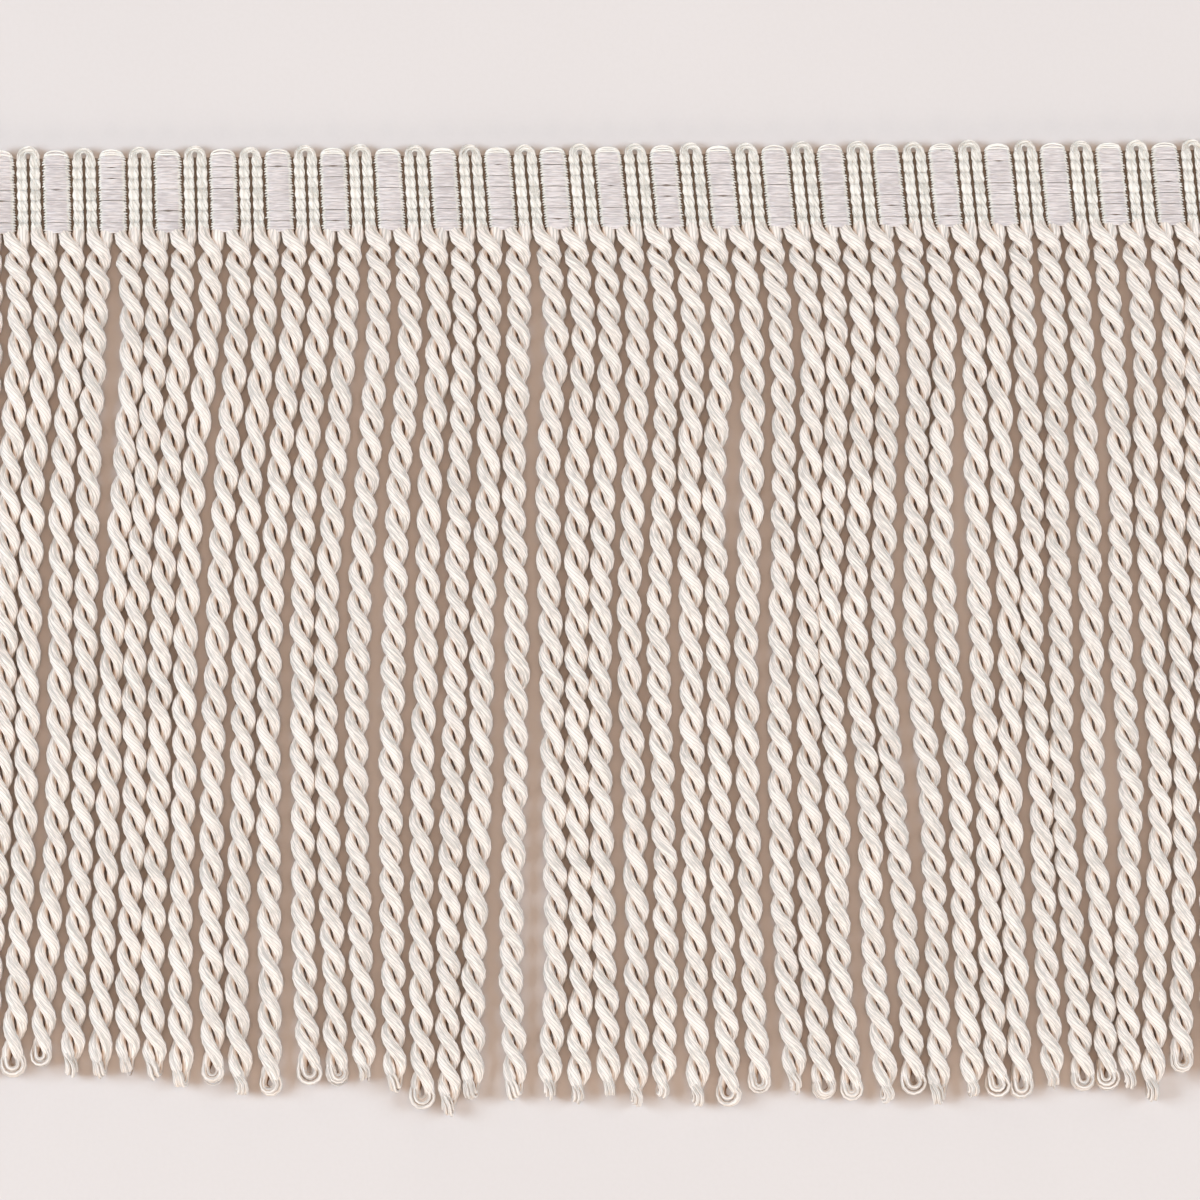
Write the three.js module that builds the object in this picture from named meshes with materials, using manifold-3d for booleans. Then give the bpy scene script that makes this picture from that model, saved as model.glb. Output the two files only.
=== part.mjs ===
// A cut length of bullion fringe, lying face up: a ribbed woven heading with a skirt of twisted cords.
// Millimetres. +X runs along the heading, +Y from the skirt to the heading, +Z up from the surface.
// The sizes are laid out from the heading's lower edge, at the middle of the length, and the finished
// fringe is then moved so that its box stands on the origin.
import * as THREE from 'three';
import Module from 'manifold-3d';

const wasm = await Module();
wasm.setup();

// The heading's repeat: a wide satin rib between two thin gimp cords, each next to a narrow slit
const repeatLength = 9.0;
const repeatCount = 23;
const satinWidth = 4.1;
const gimpWidth = 1.85;
const slitWidth = 0.4;

// The heading's height, the round tops of its ribs, and the hairpin loops that join the gimp cords
const ribHeight = 12.9;
const ribTopRound = 1.0;
const loopRise = 0.6;
const loopRound = 1.2;
const notchDepth = 1.7;

// Thicknesses from the flat back
const satinThickness = 2.4;
const gimpThickness = 2.1;
const loopThickness = 1.7;
const groundThickness = 0.9;

// The ribs lean back at the top, little at the -X end and more from the middle on, in degrees
const leanAtStart = 1.0;
const leanAtEnd = 5.5;
const leanStart = -80;
const leanEnd = 15;

// The narrow strip that the strands hang from, parted from the heading
const partingGap = 0.3;
const stripDepth = 1.6;
const stripThickness = 2.0;

// The strands: two to a repeat, each a twisted cord that rests on the surface
const strandPitch = repeatLength / 2;
const strandCount = repeatCount * 2;
const strandWidth = 3.0;
const strandTopWidth = 2.3;
const strandThickness = 3.7;
const strandSteps = 14;
const rootDepth = 1.1;
const rootShare = 0.8;

// The rounded tip of a strand: distance before its end, and share of the full section there
const tipSteps = [
  { before: 2.4, share: 1.0 },
  { before: 0.9, share: 0.85 },
  { before: 0.0, share: 0.45 },
];

// How far each strand lies to the side of its place, in mm towards +X, at these depths below the heading
// and at its tip, with its reach below the heading. One row for each strand, from the -X end.
const swayDepths = { knee: 16.3, upper: 40.5, middle: 66.3, lower: 92.1, low: 117.9 };
const strandColumns = ['knee', 'upper', 'middle', 'lower', 'low', 'tip', 'reach'];
const strandRows = [
  [0.4, -1.3, -2.3, -3.2, -4.8, -6.1, 136.0],
  [0.5, -1.3, -2.1, -3.1, -4.8, -6.1, 135.0],
  [0.2, -1.9, -2.9, -3.6, -4.9, -6.1, 135.4],
  [0.0, -1.8, -2.3, -3.0, -4.9, -5.9, 134.0],
  [-0.8, -2.1, -2.7, -3.3, -4.7, -5.5, 135.6],
  [0.7, -0.9, -2.9, -3.7, -4.9, -5.4, 136.0],
  [0.1, -1.9, -3.7, -4.0, -5.2, -5.5, 135.5],
  [-0.4, -2.5, -4.0, -4.7, -5.8, -5.5, 136.2],
  [-0.5, -3.1, -4.5, -5.1, -5.8, -5.8, 137.7],
  [-0.4, -2.5, -4.0, -5.0, -5.3, -5.1, 136.9],
  [-0.5, -2.8, -4.1, -4.6, -5.8, -5.1, 138.9],
  [-0.6, -2.9, -4.4, -4.9, -4.8, -5.0, 138.9],
  [-0.8, -3.1, -3.7, -3.8, -3.8, -3.0, 137.1],
  [-0.9, -2.9, -4.4, -4.4, -3.6, -3.1, 137.2],
  [-0.1, -2.1, -3.7, -4.2, -3.6, -3.1, 136.8],
  [0.5, -1.4, -2.4, -3.1, -3.0, -2.8, 138.6],
  [0.7, -0.9, -1.7, -2.6, -2.9, -2.9, 141.1],
  [0.3, -0.7, -1.4, -2.2, -3.1, -3.1, 142.4],
  [-0.2, -0.5, -1.7, -2.2, -3.4, -3.9, 139.8],
  [0.1, -0.9, -0.6, -1.1, -1.9, -1.3, 139.9],
  [1.6, 0.1, 0.4, 0.7, 0.8, -0.5, 139.9],
  [1.5, 0.3, 0.1, -0.1, 0.4, -0.3, 140.6],
  [1.3, 0.2, -0.7, -0.7, -0.3, 0.4, 139.7],
  [1.3, 0.5, -0.5, 0.1, 0.4, 0.1, 141.3],
  [1.3, 0.8, -0.3, 0.3, 0.6, -0.1, 140.1],
  [1.2, 0.4, 0.5, 0.6, 0.8, 1.1, 141.1],
  [1.5, -0.1, 0.4, 0.5, 0.9, 1.7, 141.1],
  [1.7, 1.5, 0.5, 0.5, 1.0, 2.1, 139.2],
  [1.9, 2.2, 1.5, 1.2, 1.9, 3.5, 139.1],
  [2.4, 1.9, 1.4, 1.5, 1.5, 3.6, 140.1],
  [1.9, 1.3, 0.3, 1.4, 1.5, 3.6, 140.5],
  [1.6, 1.0, 0.1, 2.0, 2.6, 4.9, 141.0],
  [1.1, 0.5, 0.0, 1.5, 3.6, 4.4, 139.4],
  [1.6, 1.1, 0.8, 3.0, 3.8, 4.0, 141.0],
  [1.3, 0.5, 1.3, 3.2, 3.8, 5.1, 140.3],
  [1.4, 1.8, 2.3, 3.2, 3.5, 4.5, 139.8],
  [1.0, 1.4, 2.5, 2.3, 3.0, 3.8, 140.2],
  [0.6, 1.7, 1.5, 2.8, 3.4, 4.5, 138.8],
  [1.1, 1.2, 1.7, 1.8, 3.5, 4.8, 139.1],
  [0.9, 1.6, 2.2, 2.3, 3.4, 4.2, 138.8],
  [1.3, 2.5, 2.4, 3.8, 2.9, 3.3, 138.9],
  [1.9, 2.1, 3.0, 4.1, 3.1, 2.5, 140.7],
  [2.3, 1.9, 2.9, 3.5, 3.0, 2.5, 136.2],
  [1.3, 1.3, 2.4, 3.4, 3.2, 3.5, 138.0],
  [1.3, 1.5, 2.4, 3.4, 3.2, 3.9, 139.0],
  [1.1, 1.5, 2.3, 3.2, 3.1, 3.9, 138.0],
];

const satinCream = new THREE.MeshStandardMaterial({ color: 0xe9e1dc, roughness: 0.5, metalness: 0 });
const cordCream = new THREE.MeshStandardMaterial({ color: 0xefe8e0, roughness: 0.6, metalness: 0 });

function smoothStep(low, high, value) {
  const share = THREE.MathUtils.clamp((value - low) / (high - low), 0, 1);
  return share * share * (3 - 2 * share);
}

function leanShift(x, y) {
  const share = smoothStep(leanStart, leanEnd, x);
  const degrees = THREE.MathUtils.lerp(leanAtStart, leanAtEnd, share);
  return x - y * Math.tan(THREE.MathUtils.degToRad(degrees));
}

function facesToGeometry(points, faces) {
  const geometry = new THREE.BufferGeometry();
  geometry.setAttribute('position', new THREE.Float32BufferAttribute(points.flat(), 3));
  geometry.setIndex(faces.flat());
  geometry.computeVertexNormals();
  return geometry;
}

// The heading's columns, side by side along X: height of the face, and of the round top edge above the foot

function satinColumns(centre) {
  const shape = [[-1, 0.55], [-0.8, 0.9], [0, 1], [0.8, 0.9], [1, 0.55]];
  return shape.map(([side, share]) => ({
    x: centre + (side * satinWidth) / 2,
    face: share * satinThickness,
    crown: ribHeight - ribTopRound * side * side,
  }));
}

function gimpColumns(centre, pairCentre) {
  const pairHalf = gimpWidth + slitWidth / 2;
  const shape = [[-1, 0.6], [0, 1], [1, 0.6]];
  return shape.map(([side, share]) => {
    const x = centre + (side * gimpWidth) / 2;
    const across = (x - pairCentre) / pairHalf;
    return { x, face: share * gimpThickness, crown: ribHeight + loopRise - loopRound * across * across };
  });
}

function headingColumns() {
  const columns = [];
  const gimpOffset = (satinWidth + gimpWidth) / 2 + slitWidth;
  const slitOffset = (satinWidth + slitWidth) / 2;
  for (let k = 0; k < repeatCount; k++) {
    const centre = (k - (repeatCount - 1) / 2) * repeatLength;
    const openSlit = (x) => ({ x, face: groundThickness, crown: ribHeight - notchDepth });
    if (k > 0) {
      const x = centre - repeatLength / 2;
      columns.push({ x, face: groundThickness, crown: ribHeight + loopRise, looped: true });
    }
    columns.push(...gimpColumns(centre - gimpOffset, centre - repeatLength / 2));
    columns.push(openSlit(centre - slitOffset));
    columns.push(...satinColumns(centre));
    columns.push(openSlit(centre + slitOffset));
    columns.push(...gimpColumns(centre + gimpOffset, centre + repeatLength / 2));
  }
  return columns;
}

// A column's points up the face, from the foot to the rounded top edge

function columnPoints({ x, face, crown, looped }) {
  const top = looped ? loopThickness : face;
  const rows = [
    [0, 0.8 * face],
    [0.5, face],
    [crown - 1.8, face],
    [crown - 0.7, top],
    [crown, 0.5 * top],
  ];
  return rows.map(([y, z]) => [leanShift(x, y), y, z]);
}

function headingGeometry() {
  const columns = headingColumns().map(columnPoints);
  const rowCount = columns[0].length;
  const stride = rowCount + 2;
  const points = [];
  for (const column of columns) {
    const [foot, crown] = [column[0], column[rowCount - 1]];
    points.push(...column, [crown[0], crown[1], 0], [foot[0], foot[1], 0]);
  }
  const faces = [];
  for (let c = 0; c + 1 < columns.length; c++) {
    for (let r = 0; r < stride; r++) {
      const [here, next] = [c * stride + r, c * stride + ((r + 1) % stride)];
      faces.push([here, here + stride, next + stride], [here, next + stride, next]);
    }
  }
  const last = (columns.length - 1) * stride;
  for (let r = 1; r + 1 < stride; r++) {
    faces.push([0, r, r + 1], [last, last + r + 1, last + r]);
  }
  return facesToGeometry(points, faces);
}

// A strand's sideways place at a depth below the heading, on a smooth curve through its row of the table

function swayAt(row, depth) {
  const sway = Object.fromEntries(strandColumns.map((name, column) => [name, row[column]]));
  const knots = [[0, 0]];
  for (const [name, knotDepth] of Object.entries(swayDepths)) {
    knots.push([knotDepth, sway[name]]);
  }
  knots.push([sway.reach, sway.tip]);
  const slopes = knots.map((knot, k) => {
    const [before, after] = [knots[Math.max(k - 1, 0)], knots[Math.min(k + 1, knots.length - 1)]];
    return (after[1] - before[1]) / (after[0] - before[0]);
  });
  let k = 0;
  while (k + 2 < knots.length && depth > knots[k + 1][0]) {
    k++;
  }
  const span = knots[k + 1][0] - knots[k][0];
  const t = (depth - knots[k][0]) / span;
  const rise = t * t * (3 - 2 * t);
  const leave = t * (1 - t) * (1 - t) * span * slopes[k];
  const arrive = t * t * (1 - t) * span * slopes[k + 1];
  return knots[k][1] + (knots[k + 1][1] - knots[k][1]) * rise + leave - arrive;
}

function strandGeometry(index) {
  const row = strandRows[index];
  const place = (index - (strandCount - 1) / 2) * strandPitch;
  const reach = row[strandColumns.indexOf('reach')];
  const stations = [];
  for (let step = 0; step < strandSteps; step++) {
    const depth = THREE.MathUtils.lerp(rootDepth, reach - tipSteps[0].before, step / strandSteps);
    stations.push([depth, step === 0 ? rootShare : 1]);
  }
  for (const { before, share } of tipSteps) {
    stations.push([reach - before, share]);
  }
  const points = [];
  for (const [depth, share] of stations) {
    const x = place + swayAt(row, depth);
    const half = (share * strandWidth) / 2;
    const topHalf = (share * strandTopWidth) / 2;
    const top = share * strandThickness;
    points.push([x - half, -depth, 0], [x + half, -depth, 0], [x + topHalf, -depth, top], [x - topHalf, -depth, top]);
  }
  const faces = [[0, 2, 1], [0, 3, 2]];
  for (let s = 0; s + 1 < stations.length; s++) {
    for (let corner = 0; corner < 4; corner++) {
      const [here, next] = [4 * s + corner, 4 * s + ((corner + 1) % 4)];
      faces.push([here, next, next + 4], [here, next + 4, here + 4]);
    }
  }
  const end = 4 * (stations.length - 1);
  faces.push([end, end + 1, end + 2], [end, end + 2, end + 3]);
  return facesToGeometry(points, faces);
}

function toSolid(geometry) {
  const mesh = new wasm.Mesh({
    numProp: 3,
    vertProperties: new Float32Array(geometry.getAttribute('position').array),
    triVerts: new Uint32Array(geometry.getIndex().array),
  });
  return new wasm.Manifold(mesh);
}

function stripGeometry() {
  const half = (repeatCount * repeatLength - slitWidth) / 2;
  const [back, front] = [-partingGap, -partingGap - stripDepth];
  const corners = [[-half, front], [half, front], [half, back], [-half, back]];
  const points = [...corners.map(([x, y]) => [x, y, 0]), ...corners.map(([x, y]) => [x, y, stripThickness])];
  const faces = [[0, 2, 1], [0, 3, 2], [4, 5, 6], [4, 6, 7]];
  for (let side = 0; side < 4; side++) {
    const next = (side + 1) % 4;
    faces.push([side, next, next + 4], [side, next + 4, side + 4]);
  }
  return facesToGeometry(points, faces);
}

// The strands, fused at their roots into the strip
function skirtGeometry() {
  let skirt = toSolid(stripGeometry());
  for (let index = 0; index < strandCount; index++) {
    skirt = skirt.add(toSolid(strandGeometry(index)));
  }
  const { numProp, vertProperties, triVerts } = skirt.getMesh();
  const geometry = new THREE.BufferGeometry();
  geometry.setAttribute('position', new THREE.Float32BufferAttribute(vertProperties, numProp));
  geometry.setIndex(Array.from(triVerts));
  geometry.computeVertexNormals();
  return geometry;
}

function namedPiece(name, geometry, material) {
  const piece = new THREE.Mesh(geometry, material);
  piece.name = name;
  return piece;
}

const fringe = new THREE.Group();
fringe.add(namedPiece('heading', headingGeometry(), satinCream));
fringe.add(namedPiece('bullion_skirt', skirtGeometry(), cordCream));

const boxCentre = new THREE.Box3().setFromObject(fringe).getCenter(new THREE.Vector3());
fringe.position.set(-boxCentre.x, -boxCentre.y, 0);

export default fringe;
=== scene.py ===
import itertools
import math

import bpy
import numpy as np
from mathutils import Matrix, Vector


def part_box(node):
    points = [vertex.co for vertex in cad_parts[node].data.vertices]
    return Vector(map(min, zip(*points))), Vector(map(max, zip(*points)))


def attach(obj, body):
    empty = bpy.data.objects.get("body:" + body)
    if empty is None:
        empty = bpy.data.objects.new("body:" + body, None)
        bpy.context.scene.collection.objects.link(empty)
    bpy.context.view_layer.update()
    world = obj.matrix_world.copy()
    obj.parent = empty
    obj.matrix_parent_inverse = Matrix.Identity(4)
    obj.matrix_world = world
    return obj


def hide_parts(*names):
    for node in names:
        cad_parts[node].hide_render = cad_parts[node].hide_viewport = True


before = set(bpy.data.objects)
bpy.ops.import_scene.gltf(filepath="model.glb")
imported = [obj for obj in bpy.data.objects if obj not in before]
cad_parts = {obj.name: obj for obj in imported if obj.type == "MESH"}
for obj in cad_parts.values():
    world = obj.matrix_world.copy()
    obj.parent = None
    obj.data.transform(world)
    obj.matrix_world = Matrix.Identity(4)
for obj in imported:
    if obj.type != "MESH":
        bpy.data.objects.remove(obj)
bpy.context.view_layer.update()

# A cut length of cream bullion fringe, lying face up: a ribbed woven heading with a skirt of twisted cords.
# Sizes are in millimetres in the fringe's own layout: X along the heading from the middle rib, Y up from
# the heading's lower edge, Z up from the surface. Points turn into metres at the part's place when they
# become a mesh.

MM = 0.001

# The heading's repeat: a satin rib between two gimp cords, each next to a slit
REPEAT = 9.0
RIB_COUNT = 23
SATIN_WIDTH = 4.58
GIMP_WIDTH = 1.72
SLIT_WIDTH = 0.4
GROUND_THICKNESS = 0.9
BAND_COUNT = 7
BAND_PITCH = 1.76
RIB_HEIGHT = BAND_COUNT * BAND_PITCH
CREST_RISE = 1.0
LOOP_TOP = 13.95

# How the ribs lean back, in degrees, from the -X end to past the middle
LEAN_START_X, LEAN_END_X = -80.0, 15.0
LEAN_START, LEAN_END = 1.0, 5.5

# The skirt: two cords to a repeat, each one long yarn bundle doubled back on itself and twisted
CORD_PITCH = REPEAT / 2
CORD_COUNT = 2 * RIB_COUNT
HALF_TURN = 5.2
ROOT_TIGHTNESS = 0.17
ROOT_LAG = 0.85
HELIX_WIDTH = 1.07
HELIX_HEIGHT = 0.85
PLY_RADIUS = 0.99
PLY_BREADTH = 1.06
CORD_CENTRE_Z = HELIX_HEIGHT + PLY_RADIUS + 0.09
LEG_OFFSET = 1.10
LEG_Z = 1.70
HIDDEN_LEG_Z = 0.95
HIDDEN_DEPTH = -0.7
RING_STEP = 0.95

# How far each cord lies to the side of its place, towards +X, at these depths below the heading and at its
# tip, and how far it reaches. One row for each cord, from the -X end, as in the part's solids.
SWAY_DEPTHS = [16.3, 40.5, 66.3, 92.1, 117.9]
CORD_ROWS = [
    [0.4, -1.3, -2.3, -3.2, -4.8, -6.1, 136.0],
    [0.5, -1.3, -2.1, -3.1, -4.8, -6.1, 135.0],
    [0.2, -1.9, -2.9, -3.6, -4.9, -6.1, 135.4],
    [0.0, -1.8, -2.3, -3.0, -4.9, -5.9, 134.0],
    [-0.8, -2.1, -2.7, -3.3, -4.7, -5.5, 135.6],
    [0.7, -0.9, -2.9, -3.7, -4.9, -5.4, 136.0],
    [0.1, -1.9, -3.7, -4.0, -5.2, -5.5, 135.5],
    [-0.4, -2.5, -4.0, -4.7, -5.8, -5.5, 136.2],
    [-0.5, -3.1, -4.5, -5.1, -5.8, -5.8, 137.7],
    [-0.4, -2.5, -4.0, -5.0, -5.3, -5.1, 136.9],
    [-0.5, -2.8, -4.1, -4.6, -5.8, -5.1, 138.9],
    [-0.6, -2.9, -4.4, -4.9, -4.8, -5.0, 138.9],
    [-0.8, -3.1, -3.7, -3.8, -3.8, -3.0, 137.1],
    [-0.9, -2.9, -4.4, -4.4, -3.6, -3.1, 137.2],
    [-0.1, -2.1, -3.7, -4.2, -3.6, -3.1, 136.8],
    [0.5, -1.4, -2.4, -3.1, -3.0, -2.8, 138.6],
    [0.7, -0.9, -1.7, -2.6, -2.9, -2.9, 141.1],
    [0.3, -0.7, -1.4, -2.2, -3.1, -3.1, 142.4],
    [-0.2, -0.5, -1.7, -2.2, -3.4, -3.9, 139.8],
    [0.1, -0.9, -0.6, -1.1, -1.9, -1.3, 139.9],
    [1.6, 0.1, 0.4, 0.7, 0.8, -0.5, 139.9],
    [1.5, 0.3, 0.1, -0.1, 0.4, -0.3, 140.6],
    [1.3, 0.2, -0.7, -0.7, -0.3, 0.4, 139.7],
    [1.3, 0.5, -0.5, 0.1, 0.4, 0.1, 141.3],
    [1.3, 0.8, -0.3, 0.3, 0.6, -0.1, 140.1],
    [1.2, 0.4, 0.5, 0.6, 0.8, 1.1, 141.1],
    [1.5, -0.1, 0.4, 0.5, 0.9, 1.7, 141.1],
    [1.7, 1.5, 0.5, 0.5, 1.0, 2.1, 139.2],
    [1.9, 2.2, 1.5, 1.2, 1.9, 3.5, 139.1],
    [2.4, 1.9, 1.4, 1.5, 1.5, 3.6, 140.1],
    [1.9, 1.3, 0.3, 1.4, 1.5, 3.6, 140.5],
    [1.6, 1.0, 0.1, 2.0, 2.6, 4.9, 141.0],
    [1.1, 0.5, 0.0, 1.5, 3.6, 4.4, 139.4],
    [1.6, 1.1, 0.8, 3.0, 3.8, 4.0, 141.0],
    [1.3, 0.5, 1.3, 3.2, 3.8, 5.1, 140.3],
    [1.4, 1.8, 2.3, 3.2, 3.5, 4.5, 139.8],
    [1.0, 1.4, 2.5, 2.3, 3.0, 3.8, 140.2],
    [0.6, 1.7, 1.5, 2.8, 3.4, 4.5, 138.8],
    [1.1, 1.2, 1.7, 1.8, 3.5, 4.8, 139.1],
    [0.9, 1.6, 2.2, 2.3, 3.4, 4.2, 138.8],
    [1.3, 2.5, 2.4, 3.8, 2.9, 3.3, 138.9],
    [1.9, 2.1, 3.0, 4.1, 3.1, 2.5, 140.7],
    [2.3, 1.9, 2.9, 3.5, 3.0, 2.5, 136.2],
    [1.3, 1.3, 2.4, 3.4, 3.2, 3.5, 138.0],
    [1.3, 1.5, 2.4, 3.4, 3.2, 3.9, 139.0],
    [1.1, 1.5, 2.3, 3.2, 3.1, 3.9, 138.0],
]

# The layout's origin in the part's frame: the heading's lower edge, and the foot of its last gimp cord
heading_low, heading_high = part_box("heading")
HEADING_HALF = (RIB_COUNT * REPEAT - SLIT_WIDTH) / 2
ORIGIN = Vector((heading_high[0] - HEADING_HALF * MM, heading_low[1], 0.0))


def new_object(name, data):
    """An object in the scene, at the origin."""
    thing = bpy.data.objects.new(name, data)
    bpy.context.scene.collection.objects.link(thing)
    return thing


# Camera: straight above, turned a little so that the heading rises to the right

VIEW_CENTRE = (-2.87, -59.8, 2.4)
VIEW_HALF = 96.8
CAMERA_HEIGHT = 900.0
CAMERA_ROLL = 0.43
SENSOR_WIDTH = 36.0

camera_data = bpy.data.cameras.new("camera")
camera_data.sensor_width = SENSOR_WIDTH
camera_data.lens = SENSOR_WIDTH / 2 * CAMERA_HEIGHT / VIEW_HALF
camera = new_object("camera", camera_data)
camera.location = ORIGIN + (Vector(VIEW_CENTRE) + Vector((0, 0, CAMERA_HEIGHT))) * MM
camera.rotation_euler = (0, 0, -math.radians(CAMERA_ROLL))
bpy.context.scene.camera = camera


# Node building

class Wire:
    """A node's output. Arithmetic on wires adds Math nodes to their tree."""

    def __init__(self, net, socket):
        self.net = net
        self.socket = socket

    def out(self, name):
        outputs = self.socket.node.outputs
        match = [s for s in outputs if s.identifier == name] or [s for s in outputs if s.name == name]
        return Wire(self.net, match[0])

    def math(self, operation, first, second):
        return self.net.node("ShaderNodeMath", {"operation": operation}, {0: first, 1: second})

    def __add__(self, other):
        return self.math("ADD", self, other)

    def __radd__(self, other):
        return self.math("ADD", other, self)

    def __sub__(self, other):
        return self.math("SUBTRACT", self, other)

    def __rsub__(self, other):
        return self.math("SUBTRACT", other, self)

    def __mul__(self, other):
        return self.math("MULTIPLY", self, other)

    def __rmul__(self, other):
        return self.math("MULTIPLY", other, self)

    def __truediv__(self, other):
        return self.math("DIVIDE", self, other)

    def __pow__(self, other):
        return self.math("POWER", self, other)


class Net:
    """A node tree under construction, for a material or for Geometry Nodes."""

    def __init__(self, tree):
        self.tree = tree

    def node(self, kind, settings=None, sockets=None):
        """Adds a node: its settings come first, then the value or the wire of each named socket."""
        node = self.tree.nodes.new(kind)
        for name, value in (settings or {}).items():
            setattr(node, name, value)
        for key, value in (sockets or {}).items():
            socket = next((s for s in node.inputs if s.identifier == key), None) or node.inputs[key]
            if isinstance(value, Wire):
                self.tree.links.new(value.socket, socket)
            else:
                socket.default_value = value
        return Wire(self, node.outputs[0]) if node.outputs else None

    def cosine(self, angle):
        return self.node("ShaderNodeMath", {"operation": "COSINE"}, {0: angle})

    def sine(self, angle):
        return self.node("ShaderNodeMath", {"operation": "SINE"}, {0: angle})

    def at_least(self, value, floor):
        return self.node("ShaderNodeMath", {"operation": "MAXIMUM"}, {0: value, 1: floor})

    def ease(self, value, start, end):
        """0 up to start and 1 from end on, with a smooth rise between them."""
        settings = {"interpolation_type": "SMOOTHSTEP"}
        sockets = {"Value": value, "From Min": start, "From Max": end}
        return self.node("ShaderNodeMapRange", settings, sockets)

    def mix(self, share, first, second):
        settings = {"data_type": "RGBA"}
        sockets = {"Factor_Float": share, "A_Color": first, "B_Color": second}
        return self.node("ShaderNodeMix", settings, sockets).out("Result_Color")

    def stretch(self, vector, factors):
        return self.node("ShaderNodeVectorMath", {"operation": "MULTIPLY"}, {0: vector, 1: factors})

    def noise(self, vector, scale, detail=2.0):
        return self.node("ShaderNodeTexNoise", None, {"Vector": vector, "Scale": scale, "Detail": detail})

    def mesh_value(self, name, output="Fac"):
        """A value that the woven mesh carries, as a material reads it."""
        return self.node("ShaderNodeAttribute", {"attribute_name": name}).out(output)

    def stored(self, name, kind="FLOAT"):
        """A value that the paths carry, as Geometry Nodes read it."""
        settings = {"data_type": kind}
        return self.node("GeometryNodeInputNamedAttribute", settings, {"Name": name}).out("Attribute")

    def store(self, geometry, name, value, kind="FLOAT"):
        settings = {"data_type": kind, "domain": "POINT"}
        sockets = {"Geometry": geometry, "Name": name, "Value": value}
        return self.node("GeometryNodeStoreNamedAttribute", settings, sockets)


def geometry_net(name, inputs):
    """A Geometry Nodes tree with one geometry in and out, and named sizes with their default values."""
    kinds = {int: "NodeSocketInt", float: "NodeSocketFloat"}
    tree = bpy.data.node_groups.new(name, "GeometryNodeTree")
    tree.interface.new_socket("Geometry", in_out="INPUT", socket_type="NodeSocketGeometry")
    for label, default in inputs.items():
        socket = tree.interface.new_socket(label, in_out="INPUT", socket_type=kinds[type(default)])
        socket.default_value = default
    tree.interface.new_socket("Geometry", in_out="OUTPUT", socket_type="NodeSocketGeometry")
    net = Net(tree)
    return net, net.node("NodeGroupInput")


def end_tree(net, geometry, finish):
    """Closes a tree: smooth faces, real geometry, one finish."""
    smooth = net.node("GeometryNodeSetShadeSmooth", None, {"Geometry": geometry, "Shade Smooth": True})
    real = net.node("GeometryNodeRealizeInstances", None, {"Geometry": smooth})
    done = net.node("GeometryNodeSetMaterial", None, {"Geometry": real, "Material": finish})
    net.node("NodeGroupOutput", None, {"Geometry": done})
    return net.tree


def yarn_tree(name, finish):
    """Sweeps a lobed yarn along each path. Each path point has a radius, an outward side and a tone."""
    sizes_in = {
        "Sides": 6,
        "Lobes": 3,
        "Lobe Depth": 0.0,
        "Fibre Turn": 0.0,
        "Breadth": 1.0,
        "Inner Reach": 1.0,
    }
    net, sizes = geometry_net(name, sizes_in)
    sockets = {"Resolution": sizes.out("Sides"), "Radius": 1.0}
    circle = net.node("GeometryNodeCurvePrimitiveCircle", None, sockets)
    here = net.node("GeometryNodeInputPosition")
    flat = net.node("ShaderNodeSeparateXYZ", None, {0: here})
    around = net.node("ShaderNodeMath", {"operation": "ARCTAN2"}, {0: flat.out("Y"), 1: flat.out("X")})
    groove = net.at_least((net.cosine(around * sizes.out("Lobes")) + 0.5) / 1.5, 0.0)
    share = 1 - groove * sizes.out("Lobe Depth")
    inner = net.at_least(0 - flat.out("X"), 0.0)
    pressed = net.at_least(flat.out("X"), 0.0) - inner * sizes.out("Inner Reach")
    broad = flat.out("Y") * sizes.out("Breadth")
    section = net.node("ShaderNodeCombineXYZ", None, {"X": pressed, "Y": broad})
    lobed = net.node("ShaderNodeVectorMath", {"operation": "SCALE"}, {0: section, "Scale": share})
    profile = net.node("GeometryNodeSetPosition", None, {"Geometry": circle, "Position": lobed})
    profile = net.store(profile, "outward", net.cosine(around))
    profile = net.store(profile, "aside", net.sine(around))
    profile = net.store(profile, "groove", groove)

    curve = net.node("GeometryNodeMeshToCurve", None, {"Mesh": sizes.out("Geometry")})
    length = net.node("GeometryNodeSplineParameter").out("Length") / MM
    curve = net.store(curve, "along", length)
    sockets = {"Curve": curve, "Normal": net.stored("out", "FLOAT_VECTOR")}
    curve = net.node("GeometryNodeSetCurveNormal", {"mode": "FREE"}, sockets)
    sockets = {"Curve": curve, "Profile Curve": profile, "Scale": net.stored("radius"), "Fill Caps": True}
    swept = net.node("GeometryNodeCurveToMesh", None, sockets)

    along = net.stored("along")
    outward, aside = net.stored("outward"), net.stored("aside")
    turn = along * sizes.out("Fibre Turn")
    across = outward * net.cosine(turn) - aside * net.sine(turn)
    upward = outward * net.sine(turn) + aside * net.cosine(turn)
    fibre = net.node("ShaderNodeCombineXYZ", None, {"X": across, "Y": upward, "Z": along})
    swept = net.store(swept, "fibre", fibre, "FLOAT_VECTOR")
    for used in ["aside", "along", "out", "radius"]:
        swept = net.node("GeometryNodeRemoveAttribute", None, {"Geometry": swept, "Name": used})
    return end_tree(net, swept, finish)


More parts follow.
